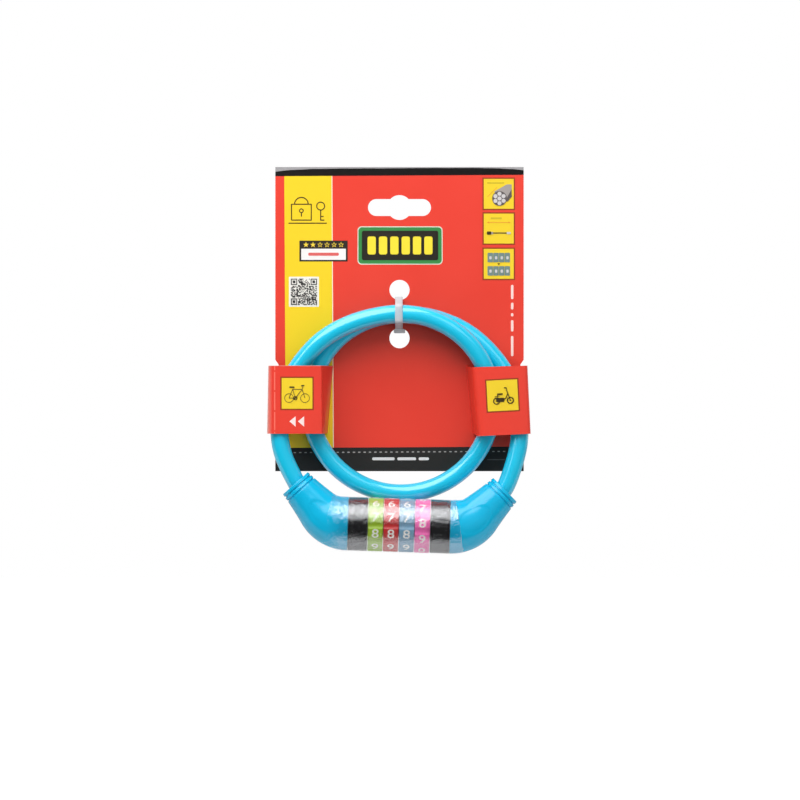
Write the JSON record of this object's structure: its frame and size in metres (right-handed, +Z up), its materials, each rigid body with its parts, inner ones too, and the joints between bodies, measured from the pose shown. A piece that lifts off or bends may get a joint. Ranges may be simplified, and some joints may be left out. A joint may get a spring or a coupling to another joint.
{
  "type": "cable lock",
  "caption": "Combination cable lock on its hang card: a sheathed steel cable, coiled, whose elbow ends meet in a barrel of coloured number dials.",
  "frame": {"origin": "middle of the hang slot, on the front face of the card", "axes": "+Z up as the card hangs, +X along the barrel, to the right as seen from the front, -Y towards the user"},
  "size_m": [0.1452, 0.0373, 0.2145],
  "materials": {
    "card": "printed and varnished board, red with a black band and a yellow stripe",
    "tie": "milky nylon",
    "film": "clear wrinkled shrink film",
    "sheath": "smooth glossy soft PVC",
    "core_steel": "twisted steel strand",
    "elbow": "satin moulded plastic",
    "steel": "plain die-cast or turned metal",
    "bolt": "bright plated steel",
    "spring": "blued spring steel",
    "clip": "dark spring steel",
    "collar": "glossy black moulded plastic",
    "dial_lime": "moulded plastic, white digits",
    "dial_red": "moulded plastic, white digits",
    "dial_blue": "moulded plastic, white digits",
    "dial_pink": "moulded plastic, white digits",
    "brass": "plain"
  },
  "bodies": {
    "card_and_barrel": {"hang_card": "card", "cable_tie": "tie", "shrink_film": "film", "cable_sheath": "sheath", "cable_core": "core_steel", "left_elbow": "elbow", "left_knuckle": "steel", "left_ferrule": "steel", "left_pin": "steel", "left_collar": "collar", "core_tube": "steel", "index_spring": "spring", "end_clip": "clip", "right_collar": "collar"},
    "wheel_1": {"dial_1": "dial_lime", "code_ring_1": "brass"},
    "wheel_2": {"dial_2": "dial_red", "code_ring_2": "brass"},
    "wheel_3": {"dial_3": "dial_blue", "code_ring_3": "brass"},
    "wheel_4": {"dial_4": "dial_pink", "code_ring_4": "brass"},
    "bolt_end": {"bolt": "bolt", "right_knuckle": "steel", "right_pin": "steel", "right_ferrule": "steel", "right_elbow": "elbow"}
  },
  "joints": [
    {"name": "wheel_1_turn", "type": "hinge", "parent": "card_and_barrel", "child": "wheel_1", "pos_m": [-0.01319, -0.0158, -0.17565], "axis": [0.9995, 0, -0.0314], "continuous": true},
    {"name": "wheel_2_turn", "type": "hinge", "parent": "card_and_barrel", "child": "wheel_2", "pos_m": [-0.0046, -0.0158, -0.17592], "axis": [0.9995, 0, -0.0314], "continuous": true},
    {"name": "wheel_3_turn", "type": "hinge", "parent": "card_and_barrel", "child": "wheel_3", "pos_m": [0.004, -0.0158, -0.17619], "axis": [0.9995, 0, -0.0314], "continuous": true},
    {"name": "wheel_4_turn", "type": "hinge", "parent": "card_and_barrel", "child": "wheel_4", "pos_m": [0.01259, -0.0158, -0.17646], "axis": [0.9995, 0, -0.0314], "continuous": true},
    {"name": "bolt_slide", "type": "slide", "parent": "card_and_barrel", "child": "bolt_end", "axis": [0.9995, 0, -0.0314], "range_m": [0, 0.05], "deforming": ["cable_sheath", "cable_core"]}
  ]
}
